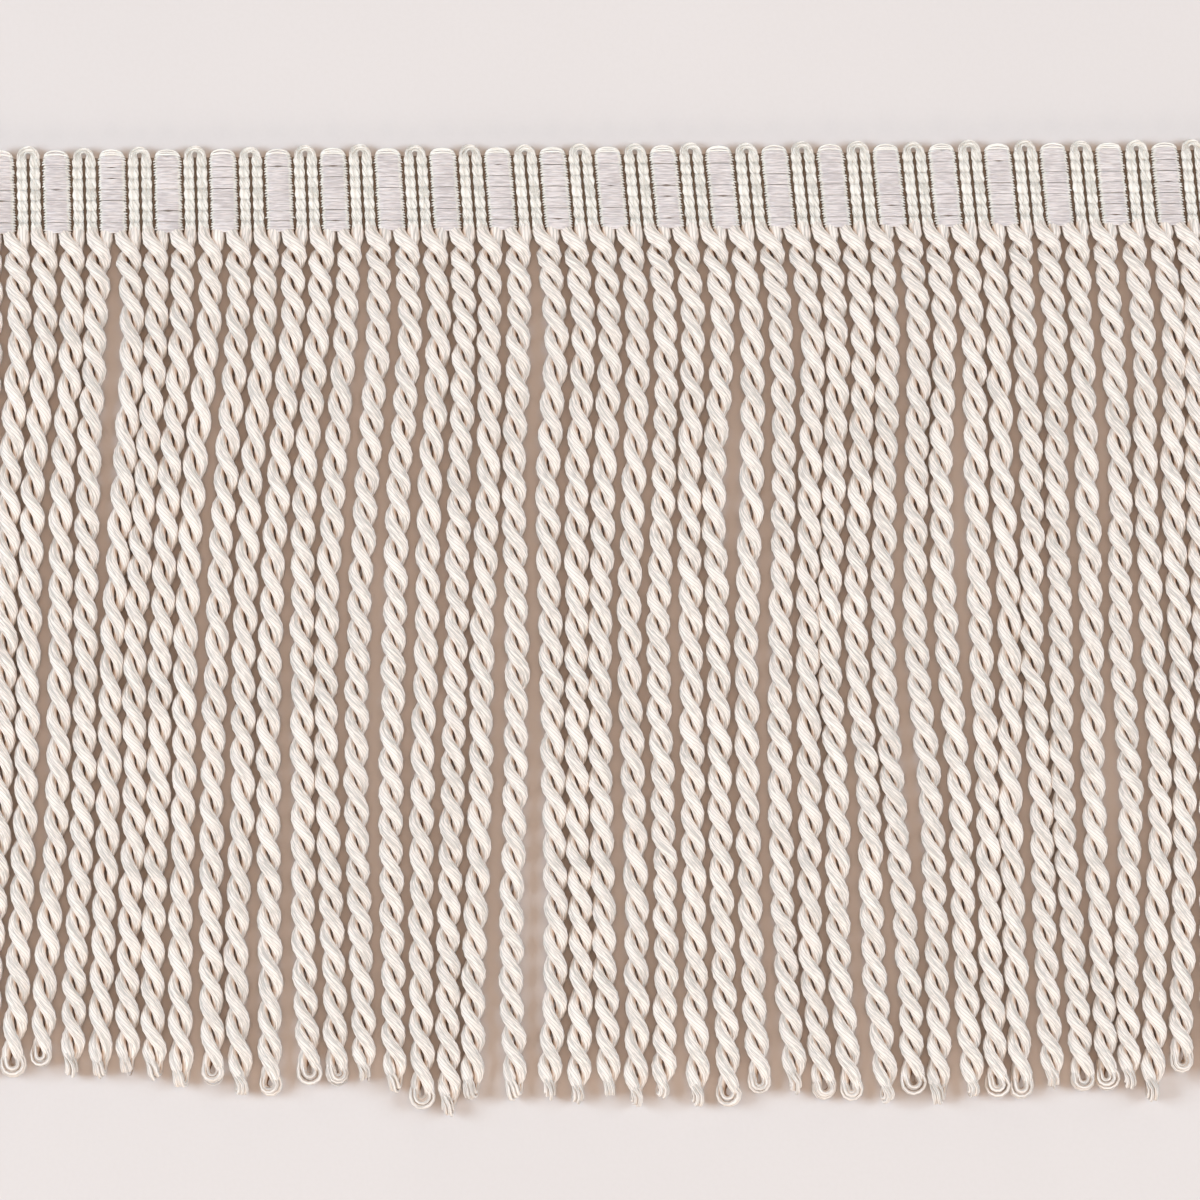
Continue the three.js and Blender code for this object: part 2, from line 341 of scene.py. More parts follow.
def wrap_tree(name, finish):
    """Lays a satin thread over the rib at each point, as an arch between the rib's two sides."""
    sizes_in = {
        "Half Width": 2.0 * MM,
        "Rise": 1.7 * MM,
        "Foot": 0.6 * MM,
        "Squareness": 0.5,
        "Thread": 0.13 * MM,
    }
    net, sizes = geometry_net(name, sizes_in)
    line = net.node("GeometryNodeCurvePrimitiveLine", None, {"Start": (-1, 0, 0), "End": (1, 0, 0)})
    line = net.node("GeometryNodeResampleCurve", None, {"Curve": line, "Count": 9})
    here = net.node("GeometryNodeInputPosition")
    place = net.node("ShaderNodeSeparateXYZ", None, {0: here}).out("X")
    side = net.node("ShaderNodeMath", {"operation": "SIGN"}, {0: place})
    angle = net.node("ShaderNodeMath", {"operation": "ABSOLUTE"}, {0: place}) ** 1.6 * (math.pi / 2)
    reach = net.at_least(net.sine(angle), 0.0) ** sizes.out("Squareness")
    height = net.at_least(net.cosine(angle), 0.0) ** sizes.out("Squareness")
    line = net.store(line, "across", side * reach)
    x = side * reach * sizes.out("Half Width")
    z = height * sizes.out("Rise") + sizes.out("Foot")
    arch_point = net.node("ShaderNodeCombineXYZ", None, {"X": x, "Z": z})
    arch = net.node("GeometryNodeSetPosition", None, {"Geometry": line, "Position": arch_point})

    sockets = {"X": net.stored("width"), "Y": 1.0, "Z": net.stored("lift")}
    scale = net.node("ShaderNodeCombineXYZ", None, sockets)
    sockets = {"Points": sizes.out("Geometry"), "Instance": arch, "Scale": scale}
    threads = net.node("GeometryNodeInstanceOnPoints", None, sockets)
    threads = net.node("GeometryNodeRealizeInstances", None, {"Geometry": threads})

    # A bow shifts the whole arch along the rib but its feet, a gape only its middle
    beside = net.at_least(1 - net.stored("across") * net.stored("across"), 0.0)
    shift = net.stored("bow") * beside ** 0.5 + net.stored("gape") * beside ** 14.0
    offset = net.node("ShaderNodeCombineXYZ", None, {"Y": shift})
    threads = net.node("GeometryNodeSetPosition", None, {"Geometry": threads, "Offset": offset})
    sockets = {"Resolution": 4, "Radius": sizes.out("Thread")}
    circle = net.node("GeometryNodeCurvePrimitiveCircle", None, sockets)
    thickness = net.stored("thickness")
    sockets = {"Curve": threads, "Profile Curve": circle, "Scale": thickness, "Fill Caps": True}
    swept = net.node("GeometryNodeCurveToMesh", None, sockets)
    for used in ["width", "lift", "bow", "gape", "thickness"]:
        swept = net.node("GeometryNodeRemoveAttribute", None, {"Geometry": swept, "Name": used})
    return end_tree(net, swept, finish)


def layout_mesh(name, points, edges, faces):
    """A mesh of layout points, in metres at the part's place."""
    mesh = bpy.data.meshes.new(name)
    mesh.from_pydata((np.asarray(points) * MM + np.array(ORIGIN)).tolist(), edges, faces)
    return mesh


def weave(name, tree, points, edges, values, sizes):
    """Runs layout points through a Geometry Nodes tree and keeps the result as a plain mesh."""
    mesh = layout_mesh(name, points, edges, [])
    for label, numbers in values.items():
        numbers = np.asarray(numbers, dtype=np.float32)
        kind, field = ("FLOAT_VECTOR", "vector") if numbers.ndim == 2 else ("FLOAT", "value")
        mesh.attributes.new(label, kind, "POINT").data.foreach_set(field, numbers.ravel())
    piece = new_object(name, mesh)
    modifier = piece.modifiers.new("weave", "NODES")
    modifier.node_group = tree
    for item in tree.interface.items_tree:
        if item.name in sizes:
            modifier[item.identifier] = sizes[item.name]
    depsgraph = bpy.context.evaluated_depsgraph_get()
    woven = bpy.data.meshes.new_from_object(
        piece.evaluated_get(depsgraph), preserve_all_data_layers=True, depsgraph=depsgraph)
    piece.modifiers.remove(modifier)
    piece.data = woven
    woven.name = name
    return piece


def plain_piece(name, points, faces, finish):
    """A piece made of layout points and faces, in one finish."""
    mesh = layout_mesh(name, points, [], faces)
    mesh.materials.append(finish)
    return new_object(name, mesh)


class Yarns:
    """Paths gathered for one piece: points, with each point's radius, outward side and tone."""

    def __init__(self):
        self.points, self.edges, self.radius, self.out, self.tone = [], [], [], [], []

    def add(self, points, radius, out, tone):
        first = len(self.points)
        count = len(points)
        self.points.extend(np.asarray(points).tolist())
        self.edges.extend((first + k, first + k + 1) for k in range(count - 1))
        self.radius.extend((np.broadcast_to(radius, count) * MM).tolist())
        self.out.extend(np.broadcast_to(out, (count, 3)).tolist())
        self.tone.extend(np.broadcast_to(tone, count).tolist())

    def weave(self, name, tree, sizes):
        values = {"radius": self.radius, "out": self.out, "tone": self.tone}
        return weave(name, tree, self.points, self.edges, values, sizes)


# Finishes

def new_finish(name):
    finish = bpy.data.materials.new(name)
    finish.use_nodes = True
    finish.node_tree.nodes.clear()
    return finish, Net(finish.node_tree)


def end_finish(net, colour, roughness, normal, constants):
    sockets = {"Base Color": colour, "Roughness": roughness, "Normal": normal, **constants}
    shader = net.node("ShaderNodeBsdfPrincipled", None, sockets)
    net.node("ShaderNodeOutputMaterial", None, {"Surface": shader})


def bump(net, height, strength, distance):
    sockets = {"Height": height, "Strength": strength, "Distance": distance * MM}
    return net.node("ShaderNodeBump", None, sockets)


def yarn_finish(name, tints, low_end, groove_share, grain):
    """Spun viscose: fine fibres along the yarn; painted shade in grooves, on the inner side and low down.
    """
    light, shade, inner_shade, painted_crease_shade = tints
    finish, net = new_finish(name)
    fibre = net.mesh_value("fibre", "Vector")
    fine = net.noise(net.stretch(fibre, (2 * grain, 2 * grain, 0.50)), 1.0, 2.0)
    strand = net.noise(net.stretch(fibre, (grain, grain, 0.16)), 1.0, 1.0)
    spun = net.ease(fine * 0.5 + strand * 0.5, 0.38, 0.53)
    place = net.node("ShaderNodeTexCoord").out("Object")
    low = 1 - net.ease(net.node("ShaderNodeSeparateXYZ", None, {0: place}).out("Z") / MM, 0.4, low_end)
    inward = 0 - net.mesh_value("outward")
    # Painted shade: the valleys between the lobes are darkened
    groove = net.ease(net.mesh_value("groove"), 0.40, 1.0) * groove_share
    shaded = net.mix(net.at_least(1 - spun, groove), light, shade)
    # A yarn's tone: at random for the cords, and painted shade at the gimps' pinches and on their middle
    # yarn
    toned = net.mix(net.mesh_value("tone") * 0.18, shaded, shade)
    # Painted shade low down and on the inner side, and the darkest painted shade in the crease where the
    # plies meet
    lower = net.mix(net.at_least(low, net.ease(inward, 0.30, 0.85)) * 0.70, toned, inner_shade)
    colour = net.mix(net.ease(inward, 0.88, 0.98), lower, painted_crease_shade)
    roughness = 0.55 + (1 - spun) * 0.18
    normal = bump(net, spun * 0.6 + strand, 0.8, 0.13)
    end_finish(net, colour, roughness, normal, {"Sheen Weight": 0.12, "Specular IOR Level": 0.36})
    return finish


def satin_finish():
    """Floss wrapped over the ribs: grey lilac painted shade on the flat face, cream painted highlights over
    the two round edges.

    A tone up to 1 shades a thread at random and a higher one is painted shade; one below 0 takes it
    towards the cream of the painted highlights.
    """
    finish, net = new_finish("satin_floss")
    across = net.mesh_value("across")
    tone = net.mesh_value("tone")
    # Painted highlight: cream over the rib's round edges, and on threads with a tone below 0
    edge = net.at_least(net.ease(across * across, 0.44, 0.72), 0 - tone)
    place = net.node("ShaderNodeTexCoord").out("Object")
    strands = net.noise(net.stretch(place, (480.0, 5600.0, 480.0)), 1.0, 2.0)
    cloud = net.noise(place, 260.0, 2.0)
    lustre = net.ease(strands * 0.75 + cloud * 0.25, 0.40, 0.60)
    # Painted shade makes the flat face grey lilac, and the painted highlight makes the edges cream
    face = net.mix(lustre, (0.61, 0.545, 0.54, 1), (0.84, 0.77, 0.755, 1))
    rim = net.mix(lustre, (0.83, 0.785, 0.72, 1), (0.955, 0.905, 0.845, 1))
    # A tone above 0 darkens a thread: at random up to 1, and as painted shade on the crest's fill
    toned = net.mix(net.at_least(tone, 0.0) * 0.26, net.mix(edge, face, rim), (0.64, 0.575, 0.55, 1))
    roughness = 0.34 + (1 - lustre) * 0.16
    normal = bump(net, strands, 0.35, 0.03)
    end_finish(net, toned, roughness, normal, {"Sheen Weight": 0.08, "Specular IOR Level": 0.5})
    return finish


def ground_finish():
    """The woven ground: pale at its back and edges, with dark painted shade on top, where it shows in the
    slits.
    """
    finish, net = new_finish("ground_weave")
    place = net.node("ShaderNodeTexCoord").out("Object")
    depth = net.node("ShaderNodeSeparateXYZ", None, {0: place}).out("Z") / MM
    facing = net.node("ShaderNodeNewGeometry").out("Normal")
    upward = net.ease(net.node("ShaderNodeSeparateXYZ", None, {0: facing}).out("Z"), 0.3, 0.7)
    warp = net.noise(net.stretch(place, (4200.0, 900.0, 1000.0)), 1.0, 2.0)
    weft = net.noise(net.stretch(place, (700.0, 4800.0, 1000.0)), 1.0, 2.0)
    woven = warp * 0.5 + weft * 0.5
    back = net.mix(woven, (0.66, 0.60, 0.52, 1), (0.84, 0.79, 0.72, 1))
    # Painted shade: the upward faces of the ground and the rib cores, seen deep in the slits and seams, are
    # dark brown
    front = net.mix(woven, (0.165, 0.127, 0.097, 1), (0.36, 0.29, 0.235, 1))
    colour = net.mix(net.ease(depth, 0.35, 0.6) * upward, back, front)
    normal = bump(net, woven, 0.6, 0.08)
    end_finish(net, colour, 0.75 + woven * 0.15, normal, {"Sheen Weight": 0.1})
    return finish


def floor_finish():
    """Plain pale card with a faint tooth."""
    finish, net = new_finish("pale_card")
    place = net.node("ShaderNodeTexCoord").out("Object")
    tooth = net.noise(place, 1500.0, 3.0)
    drift = net.noise(place, 14.0, 2.0)
    tint = net.mix(drift, (0.631, 0.581, 0.567, 1), (0.665, 0.613, 0.598, 1))
    colour = net.mix(net.ease(tooth, 0.35, 0.7) * 0.12, tint, (0.60, 0.545, 0.52, 1))
    end_finish(net, colour, 0.85, bump(net, tooth, 0.2, 0.05), {})
    return finish


# Each yarn's light and shade, the shade also painted into its grooves as painted shade, then the painted
# shade of its inner side and low down, and the darkest painted shade where its plies meet
CORD_TINTS = [
    (0.925, 0.83, 0.765, 1),
    (0.57, 0.52, 0.48, 1),
    (0.75, 0.575, 0.45, 1),
    (0.26, 0.14, 0.075, 1),
]
GIMP_TINTS = [
    (0.92, 0.855, 0.79, 1),
    (0.60, 0.56, 0.50, 1),
    (0.80, 0.765, 0.70, 1),
    (0.62, 0.57, 0.49, 1),
]
# low_end is the height in mm where the painted shade low down fades out, groove_share the strength of the
# painted shade in the grooves
cord_floss = yarn_finish("cord_floss", CORD_TINTS, low_end=2.3, groove_share=0.80, grain=2.5)
gimp_yarn = yarn_finish("gimp_yarn", GIMP_TINTS, low_end=1.3, groove_share=0.35, grain=2.0)
satin_floss = satin_finish()
ground_weave = ground_finish()


# Shapes that several pieces share

def smooth_step(start, end, value):
    share = np.clip((np.asarray(value, dtype=float) - start) / (end - start), 0.0, 1.0)
    return share * share * (3 - 2 * share)


def leaned(x, y):
    """The sideways place of a heading point, leaned back as the ribs are."""
    degrees = LEAN_START + (LEAN_END - LEAN_START) * smooth_step(LEAN_START_X, LEAN_END_X, x)
    return x - y * np.tan(np.radians(degrees))


def wander(draw, along, length):
    """A slow swing between about -1 and 1 along a yarn."""
    first, second = draw.uniform(0, 2 * np.pi, 2)
    slow = np.sin(2 * np.pi * along / length + first)
    quick = np.sin(4.7 * np.pi * along / length + second)
    return 0.6 * slow + 0.4 * quick


def sway_at(row, depth):
    """A cord's sideways place at a depth, on the smooth curve that the part's solids follow."""
    knots = np.array([0.0, *SWAY_DEPTHS, row[-1]])
    places = np.array([0.0, *row[:-1]])
    order = np.arange(len(knots))
    before, after = np.maximum(order - 1, 0), np.minimum(order + 1, len(knots) - 1)
    slopes = (places[after] - places[before]) / (knots[after] - knots[before])
    k = np.clip(np.searchsorted(knots, depth) - 1, 0, len(knots) - 2)
    span = knots[k + 1] - knots[k]
    t = np.clip((depth - knots[k]) / span, 0.0, 1.0)
    rise = t * t * (3 - 2 * t)
    leave = t * (1 - t) ** 2 * span * slopes[k]
    arrive = t * t * (1 - t) * span * slopes[k + 1]
    return places[k] + (places[k + 1] - places[k]) * rise + leave - arrive


def lengths_along(points):
    steps = np.linalg.norm(np.diff(points, axis=0), axis=1)
    return np.concatenate([[0.0], np.cumsum(steps)])


def resample(points, out, spots):
    """Points and outward sides of a path at the given lengths along it."""
    along = lengths_along(points)
    placed = np.column_stack([np.interp(spots, along, points[:, axis]) for axis in range(3)])
    sides = np.column_stack([np.interp(spots, along, out[:, axis]) for axis in range(3)])
    return placed, sides / np.linalg.norm(sides, axis=1)[:, None]


def parted(yarns, points, out, start, end, step, count, offset, radius, spill, draw, tone):
    """Splits a bundle into separate yarns between two lengths along it, as where it turns back on itself.

    The yarns stand off the bundle's centre by the offset, most of all half way. Each spills a little
    towards the bundle's outward side, or away from it.
    """
    spots = np.arange(start, end + step / 2, step)
    centre, sides = resample(points, out, spots)
    tangent = np.gradient(centre, axis=0)
    tangent /= np.linalg.norm(tangent, axis=1)[:, None]
    cross = np.cross(tangent, sides)
    middle = np.maximum(np.sin(np.pi * (spots - start) / (end - start)), 0.0) ** 1.5
    first = draw.uniform(0, 2 * np.pi)
    for k in range(count):
        angle = first + 2 * np.pi * k / count
        away = offset * (0.75 + 0.35 * middle)[:, None]
        push = (spill * draw.uniform(-0.6, 1.0) * middle)[:, None]
        outer = math.cos(angle) * (1 - 0.45 * middle[:, None] * (math.cos(angle) < 0))
        path = centre + away * (outer * sides + math.sin(angle) * cross) + push * sides
        slim = radius * (0.8 + 0.38 * middle) * draw.uniform(0.85, 1.15)
        path[:, 2] = np.maximum(path[:, 2], slim + 0.05)
        yarns.add(path, slim, sides, tone + draw.uniform(-0.1, 0.1))


# Bullion cords

# The tip: its bend lies flat on the surface or stands on edge, and the twist eases over the last stretch
# above it. The bundle opens into its yarns, and into loose fibres, this far to each side of the bend.
FLAT_LOOP_SHARE = 0.6
FLAT_LOOP_RADII = (0.92, 1.16)
EDGE_LOOP_RADII = (0.55, 0.80)
TIP_GAP = 0.45
EASED_STRETCH = 4.0
TIP_PART = 4.2
LOOSE_PART = 2.2

def cord_path(index, draw):
    """One cord's bundle: down as one ply, round at the tip, and back up as the other."""
    row = CORD_ROWS[index]
    place = (index - (CORD_COUNT - 1) / 2) * CORD_PITCH
    flat_loop = draw.random() < FLAT_LOOP_SHARE
    tip_radius = draw.uniform(*(FLAT_LOOP_RADII if flat_loop else EDGE_LOOP_RADII))
    bend_depth = row[-1] - tip_radius - PLY_RADIUS + TIP_GAP
    depth = np.linspace(HIDDEN_DEPTH, bend_depth, round(bend_depth / RING_STEP) + 2)
    near_tip = smooth_step(bend_depth - EASED_STRETCH, bend_depth, depth)

    # The angle that the plies have turned through at each depth. At the tip it is about a whole number of
    # half turns for a flat loop, and half of one more for a loop on edge.
    half_turn = HALF_TURN * (1 + 0.05 * draw.normal()) * (1 + 0.08 * wander(draw, depth, 34.0))
    half_turn = half_turn * (1 - ROOT_TIGHTNESS * smooth_step(24.0, 3.0, depth))
    half_turn = half_turn * (1 + 0.8 * near_tip)
    steps = np.diff(depth) * np.pi * 2 / (half_turn[1:] + half_turn[:-1])
    turned = np.concatenate([[0.0], np.cumsum(steps)])
    turned = np.maximum(turned - np.interp(0.0, depth, turned), 0.0)
    half_turns = round(turned[-1] / np.pi) + (0.0 if flat_loop else 0.5) + draw.uniform(-0.12, 0.12)
    turned = turned * half_turns * np.pi / turned[-1]

    wide = HELIX_WIDTH * (1 + 0.05 * wander(draw, depth, 19.0) + 0.11 * smooth_step(9.0, 2.0, depth))
    wide = wide * (1 - near_tip) + tip_radius * near_tip
    tall = HELIX_HEIGHT * (1 - near_tip) + tip_radius * near_tip
    drift = 0.12 * wander(draw, depth, 15.0) * smooth_step(2, 8, depth)
    axis_x = place + sway_at(row, np.maximum(depth, 0.0)) + drift
    twisting = smooth_step(-0.2, 1.8, depth)
    lag = ROOT_LAG * smooth_step(0.0, 1.0, depth) * smooth_step(6.5, 1.5, depth)
    sides = []
    for start, late in ((np.pi, 0.0), (0.0, lag)):
        angle = start - np.maximum(turned - late, 0.0)
        x = axis_x + (1 - twisting) * LEG_OFFSET * math.cos(start) + twisting * wide * np.cos(angle)
        leg_z = HIDDEN_LEG_Z + (LEG_Z - HIDDEN_LEG_Z) * smooth_step(-0.4, 0.9, depth)
        z = (1 - twisting) * leg_z + twisting * (CORD_CENTRE_Z + tall * np.sin(angle))
        out = np.column_stack([np.cos(angle), np.zeros_like(angle), np.sin(angle)])
        sides.append((np.column_stack([x, -depth, z]), out))
    (down, down_out), (up, up_out) = sides
    bend = np.linspace(0.0, np.pi, 9)[1:-1, None]
    outward = down_out[-1]
    bend_out = np.cos(bend) * outward + np.sin(bend) * np.array([0.0, -1.0, 0.0])
    centre = (down[-1] + up[-1]) / 2
    turn = centre + tip_radius * bend_out
    points = np.concatenate([down, turn, up[::-1]])
    out = np.concatenate([down_out, bend_out, up_out[::-1]])
    return points, out


def bullion_cords(first, last, name, tree, ends):
    """Some of the cords. The yarns that part at their tips, and the loose fibres there, join the ends."""
    yarns = Yarns()
    for index in range(first, last):
        draw = np.random.default_rng(100 + index)
        points, out = cord_path(index, draw)
        along = lengths_along(points)
        tip = along[-1] / 2
        from_tip = np.abs(along - tip)
        from_root = tip - from_tip
        uneven = 0.055 * wander(draw, along, 27.0)
        radius = PLY_RADIUS * (1 + uneven + 0.14 * smooth_step(8.0, 1.5, from_root))
        radius = radius * (1 - 0.18 * smooth_step(1.0, 0.0, from_root))
        radius = radius * (1 - 0.50 * smooth_step(3.6, 1.2, from_tip))
        points[:, 2] = np.maximum(points[:, 2], radius * PLY_BREADTH + 0.03)
        tone = float(np.clip(draw.normal(0.35, 0.22), 0, 1))
        yarns.add(points, radius, out, tone)
        apart = draw.uniform(0.54, 0.70)
        parted(
            ends, points, out, tip - TIP_PART, tip + TIP_PART, step=0.55, count=6,
            offset=apart, radius=0.29, spill=0.42, draw=draw, tone=tone)
        parted(
            ends, points, out, tip - LOOSE_PART, tip + LOOSE_PART, step=0.45, count=2,
            offset=0.60, radius=0.09, spill=0.80, draw=draw, tone=0.0)
    sizes = {
        "Sides": 24,
        "Lobes": 12,
        "Lobe Depth": 0.09,
        "Fibre Turn": -0.25,
        "Breadth": PLY_BREADTH,
        "Inner Reach": 0.965,
    }
    return yarns.weave(name, tree, sizes)


CORDS_IN_PIECE = 8
cord_tree = yarn_tree("bullion yarn", cord_floss)
cord_ends = Yarns()
cords = []
for number, first in enumerate(range(0, CORD_COUNT, CORDS_IN_PIECE), start=1):
    last = min(first + CORDS_IN_PIECE, CORD_COUNT)
    cords.append(bullion_cords(first, last, f"bullion_cords_{number}", cord_tree, cord_ends))
cords.append(cord_ends.weave("cord_ends", cord_tree, {"Sides": 6}))


# Woven ground of the heading

TAPE_FOOT = 0.1
TAPE_TOP = 12.2

def ground_tape():
    """The flat tape under the ribs, closed all round, with its ends cut along the ribs' lean and painted
    shade on its top.
    """
    columns = np.linspace(-HEADING_HALF, HEADING_HALF, 4 * RIB_COUNT + 1)
    rows = np.linspace(TAPE_FOOT, TAPE_TOP, 5)
    points, faces = [], []
    for z in (0.0, GROUND_THICKNESS):
        for x in columns:
            points.extend((leaned(x, y), y, z) for y in rows)
    count, stride = len(columns), len(rows)
    top = count * stride
    for c in range(count - 1):
        for r in range(stride - 1):
            here, beside = c * stride + r, (c + 1) * stride + r
            faces.append((here, here + 1, beside + 1, beside))
            faces.append((top + here, top + beside, top + beside + 1, top + here + 1))
    rim = [c * stride for c in range(count)]
    rim += [(count - 1) * stride + r for r in range(1, stride)]
    rim += [c * stride + stride - 1 for c in range(count - 2, -1, -1)]
    rim += [r for r in range(stride - 2, 0, -1)]
    for k, here in enumerate(rim):
        after = rim[(k + 1) % len(rim)]
        faces.append((here, after, top + after, top + here))
    return plain_piece("heading_ground", points, faces, ground_weave)


heading_ground = ground_tape()


# Satin ribs: threads over a core

THREADS_IN_BAND = 8
RIB_FOOT = 0.55
RIB_RISE = 1.72
THREAD_RADIUS = 0.125

# How far a seam between bands, or an eye in its middle, opens to each side, and the share of each kind
SEAM_WIDTHS, SEAM_SHARES = [0.0, 0.03, 0.065], [0.35, 0.33, 0.32]
EYE_WIDTHS, EYE_SHARES = [0.0, 0.12], [0.86, 0.14]

# The tones of crest threads: a fill in painted shade, and cream ones over it and round its front, in the
# painted highlight of the rib's round edges
FILL_TONE, CREST_TONE, FRONT_TONE = 1.5, -1.0, -0.4

def rib_centre(k):
    return (k - (RIB_COUNT - 1) / 2) * REPEAT


def rib_cores():
    """The padding under the threads, a low round-topped ridge for each rib, with painted shade on its top.

    The arch goes from the left foot to the right one, in shares of the half width and in heights. Each
    section says where along the rib it stands, and how wide and tall it is there.
    """
    left = [(-0.93, 0.3), (-0.9, 1.2), (-0.7, 1.85), (-0.3, 2.1)]
    arch = left + [(-side, height) for side, height in reversed(left)]
    sections = [
        (0.06, 1.0, 1.0),
        (4.0, 1.0, 1.0),
        (8.0, 1.0, 1.0),
        (11.9, 0.98, 1.0),
        (12.4, 0.85, 0.9),
        (12.8, 0.5, 0.6),
    ]
    points, faces = [], []
    for k in range(RIB_COUNT):
        base = len(points)
        for y, wide, tall in sections:
            middle = float(leaned(rib_centre(k), y))
            half = wide * SATIN_WIDTH / 2
            points.extend((middle + side * half, y, height * tall) for side, height in arch)
        size = len(arch)
        for s in range(len(sections) - 1):
            for a in range(size):
                here, after = base + s * size + a, base + s * size + (a + 1) % size
                faces.append((here, after, after + size, here + size))
        faces.append(tuple(base + a for a in reversed(range(size))))
        end = base + (len(sections) - 1) * size
        faces.append(tuple(end + a for a in range(size)))
    return plain_piece("rib_cores", points, faces, ground_weave)


def satin_threads():
    """The floss threads that wrap the ribs, in bands with some open seams between, and round their tops."""
    draw = np.random.default_rng(41)
    points, values = [], {"tone": [], "width": [], "lift": [], "bow": [], "gape": [], "thickness": []}

    def lay(k, y, tone, width, lift, bow, gape=0.0, thickness=1.0):
        points.append((float(leaned(rib_centre(k), y)), y, 0.0))
        for name, value in zip(values, (tone, width, lift, bow * MM, gape * MM, thickness)):
            values[name].append(value)

    for k in range(RIB_COUNT):
        seams = draw.choice(SEAM_WIDTHS, BAND_COUNT + 1, p=SEAM_SHARES)
        eyes = draw.choice(EYE_WIDTHS, BAND_COUNT + 1, p=EYE_SHARES)
        for band in range(BAND_COUNT):
            for t in range(THREADS_IN_BAND):
                share = (t + 0.5) / THREADS_IN_BAND
                bow = seams[band] * (1 - share) ** 3 - seams[band + 1] * share ** 3
                gape = eyes[band] * (1 - share) ** 3 - eyes[band + 1] * share ** 3
                y = (band + share) * BAND_PITCH + draw.normal(0, 0.010)
                width = 1.01 - 0.10 * abs(2 * share - 1) ** 3 + 0.05 * (-1) ** t + draw.normal(0, 0.026)
                width = width - 0.05 * smooth_step(RIB_HEIGHT - 1.2, RIB_HEIGHT, y)
                lay(k, y, draw.uniform(0, 1), width, 1 + draw.normal(0, 0.012), bow, gape)
        for share in (0.15, 0.36, 0.57, 0.78, 0.95):
            bow = CREST_RISE * share - 0.08
            width, lift = 0.92 - 0.10 * share, 0.93 - 0.14 * share
            lay(k, RIB_HEIGHT - 0.05, FILL_TONE, width, lift, bow, gape=0.05)
        shares = (0.45, 1.0) if draw.random() < 0.5 else (0.30, 0.66, 1.0)
        for share in shares:
            bow = CREST_RISE * share * draw.uniform(0.86, 1.06)
            width, lift = 0.95 - 0.09 * share, 1.0 - 0.09 * share
            thickness = draw.uniform(1.1, 1.35)
            lay(k, RIB_HEIGHT + 0.06 * share, CREST_TONE, width, lift, bow, thickness=thickness)
        for lift in (0.80, 0.68, 0.56, 0.44, 0.32):
            lay(k, RIB_HEIGHT + 0.02, FRONT_TONE, 0.86, lift, CREST_RISE * 0.97, thickness=1.2)
    sizes = {
        "Half Width": (SATIN_WIDTH / 2 - THREAD_RADIUS) * MM,
        "Rise": RIB_RISE * MM,
        "Foot": RIB_FOOT * MM,
        "Squareness": 0.5,
        "Thread": THREAD_RADIUS * MM,
    }
    return weave("satin_ribs", wrap_tree("satin wrap", satin_floss), points, [], values, sizes)


ribs_under = rib_cores()
satin_ribs = satin_threads()


# Gimp cords: hairpins of an outer and an inner yarn with a thinner one between, pinched at each band

GIMP_Z = 1.45
GIMP_RADIUS = 0.47
OUTER_YARN = SLIT_WIDTH / 2 + GIMP_WIDTH - GIMP_RADIUS
INNER_YARN = SLIT_WIDTH / 2 + GIMP_RADIUS
CORE_YARN = (OUTER_YARN + INNER_YARN) / 2

def hairpin(yarns, centre, half, top, full, thin, facing, tone, draw):
    """A yarn that runs up on one side of the centre line, turns over at the top and runs down on the other.

    It swells between pinches, where it takes painted shade, is full on its legs and thin on its turn, and
    faces out (1) or in (-1).
    """
    step = BAND_PITCH / 5
    y = np.arange(0.05, top, step)
    turn = np.linspace(0, np.pi, 11 if half > 1 else 8)[1:-1]
    x = np.concatenate([np.full(len(y), -half), -half * np.cos(turn), np.full(len(y), half)])
    up = np.concatenate([y, top + half * np.sin(turn), y[::-1]])
    on_turn = smooth_step(top - 0.5, top + 0.4 * half, up)
    bulge = np.maximum(np.abs(np.sin(np.pi * up / BAND_PITCH)) ** 0.9, on_turn)
    z = GIMP_Z - 0.15 * (1 - bulge) + draw.normal(0, 0.02, len(x))
    radius = full * (0.74 + 0.36 * bulge) * (1 + draw.normal(0, 0.05, len(x)))
    radius = radius * (1 - on_turn) + thin * on_turn
    x = x + facing * np.sign(x) * 0.05 * (bulge - 0.5) * (1 - on_turn)
    # Painted shade at each pinch, where the yarn is drawn in and down
    tone = tone + 2.4 * (1 - bulge) ** 2
    points = np.column_stack([leaned(centre + x, up), up, z - 0.12 * on_turn])
    sideways = np.concatenate([np.full(len(y), -1.0), -np.cos(turn), np.full(len(y), 1.0)])
    upward = np.concatenate([np.zeros(len(y)), np.sin(turn), np.zeros(len(y))])
    out = facing * np.column_stack([sideways, upward, np.zeros(len(x))])
    yarns.add(points, radius, out, tone)
    return points, out, len(y)


